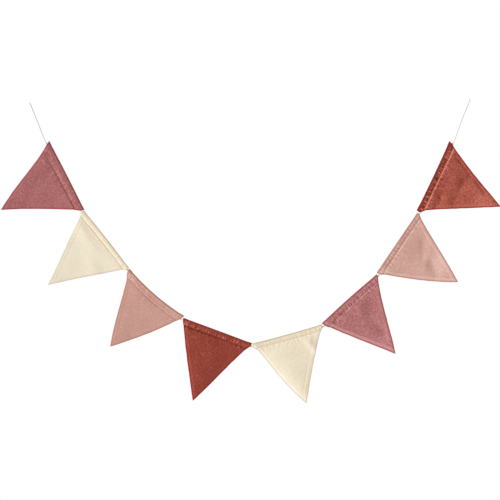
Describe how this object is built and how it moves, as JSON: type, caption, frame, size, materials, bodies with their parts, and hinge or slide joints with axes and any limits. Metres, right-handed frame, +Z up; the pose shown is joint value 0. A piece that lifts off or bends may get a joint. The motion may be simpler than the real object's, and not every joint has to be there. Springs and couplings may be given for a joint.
{
  "type": "fabric bunting",
  "caption": "Fabric bunting of triangular cotton canvas pennants in mauve, cream, pink and rust, threaded through topstitched casings on an off-white cotton string.",
  "frame": {"origin": "left end of the string, on its centre line, where the bunting is tied up", "axes": "+X runs along the bunting to its right end, +Z is up, and the face that shows looks along -Y"},
  "size_m": [1.2145, 0.0171, 0.7396],
  "materials": {
    "mauve_canvas": "matt plain-weave cotton canvas, dusty mauve rose",
    "cream_canvas": "matt plain-weave cotton canvas, natural cream",
    "pink_canvas": "matt plain-weave cotton canvas, dusty pink",
    "rust_canvas": "matt plain-weave cotton canvas, brick rust",
    "cotton_string": "matt twisted cotton string, off-white"
  },
  "bodies": {
    "root": {"pennant_1": "mauve_canvas", "pennant_2": "cream_canvas", "pennant_3": "pink_canvas", "pennant_4": "rust_canvas", "pennant_5": "cream_canvas", "pennant_6": "mauve_canvas", "pennant_7": "pink_canvas", "pennant_8": "rust_canvas", "string": "cotton_string"}
  },
  "joints": []
}
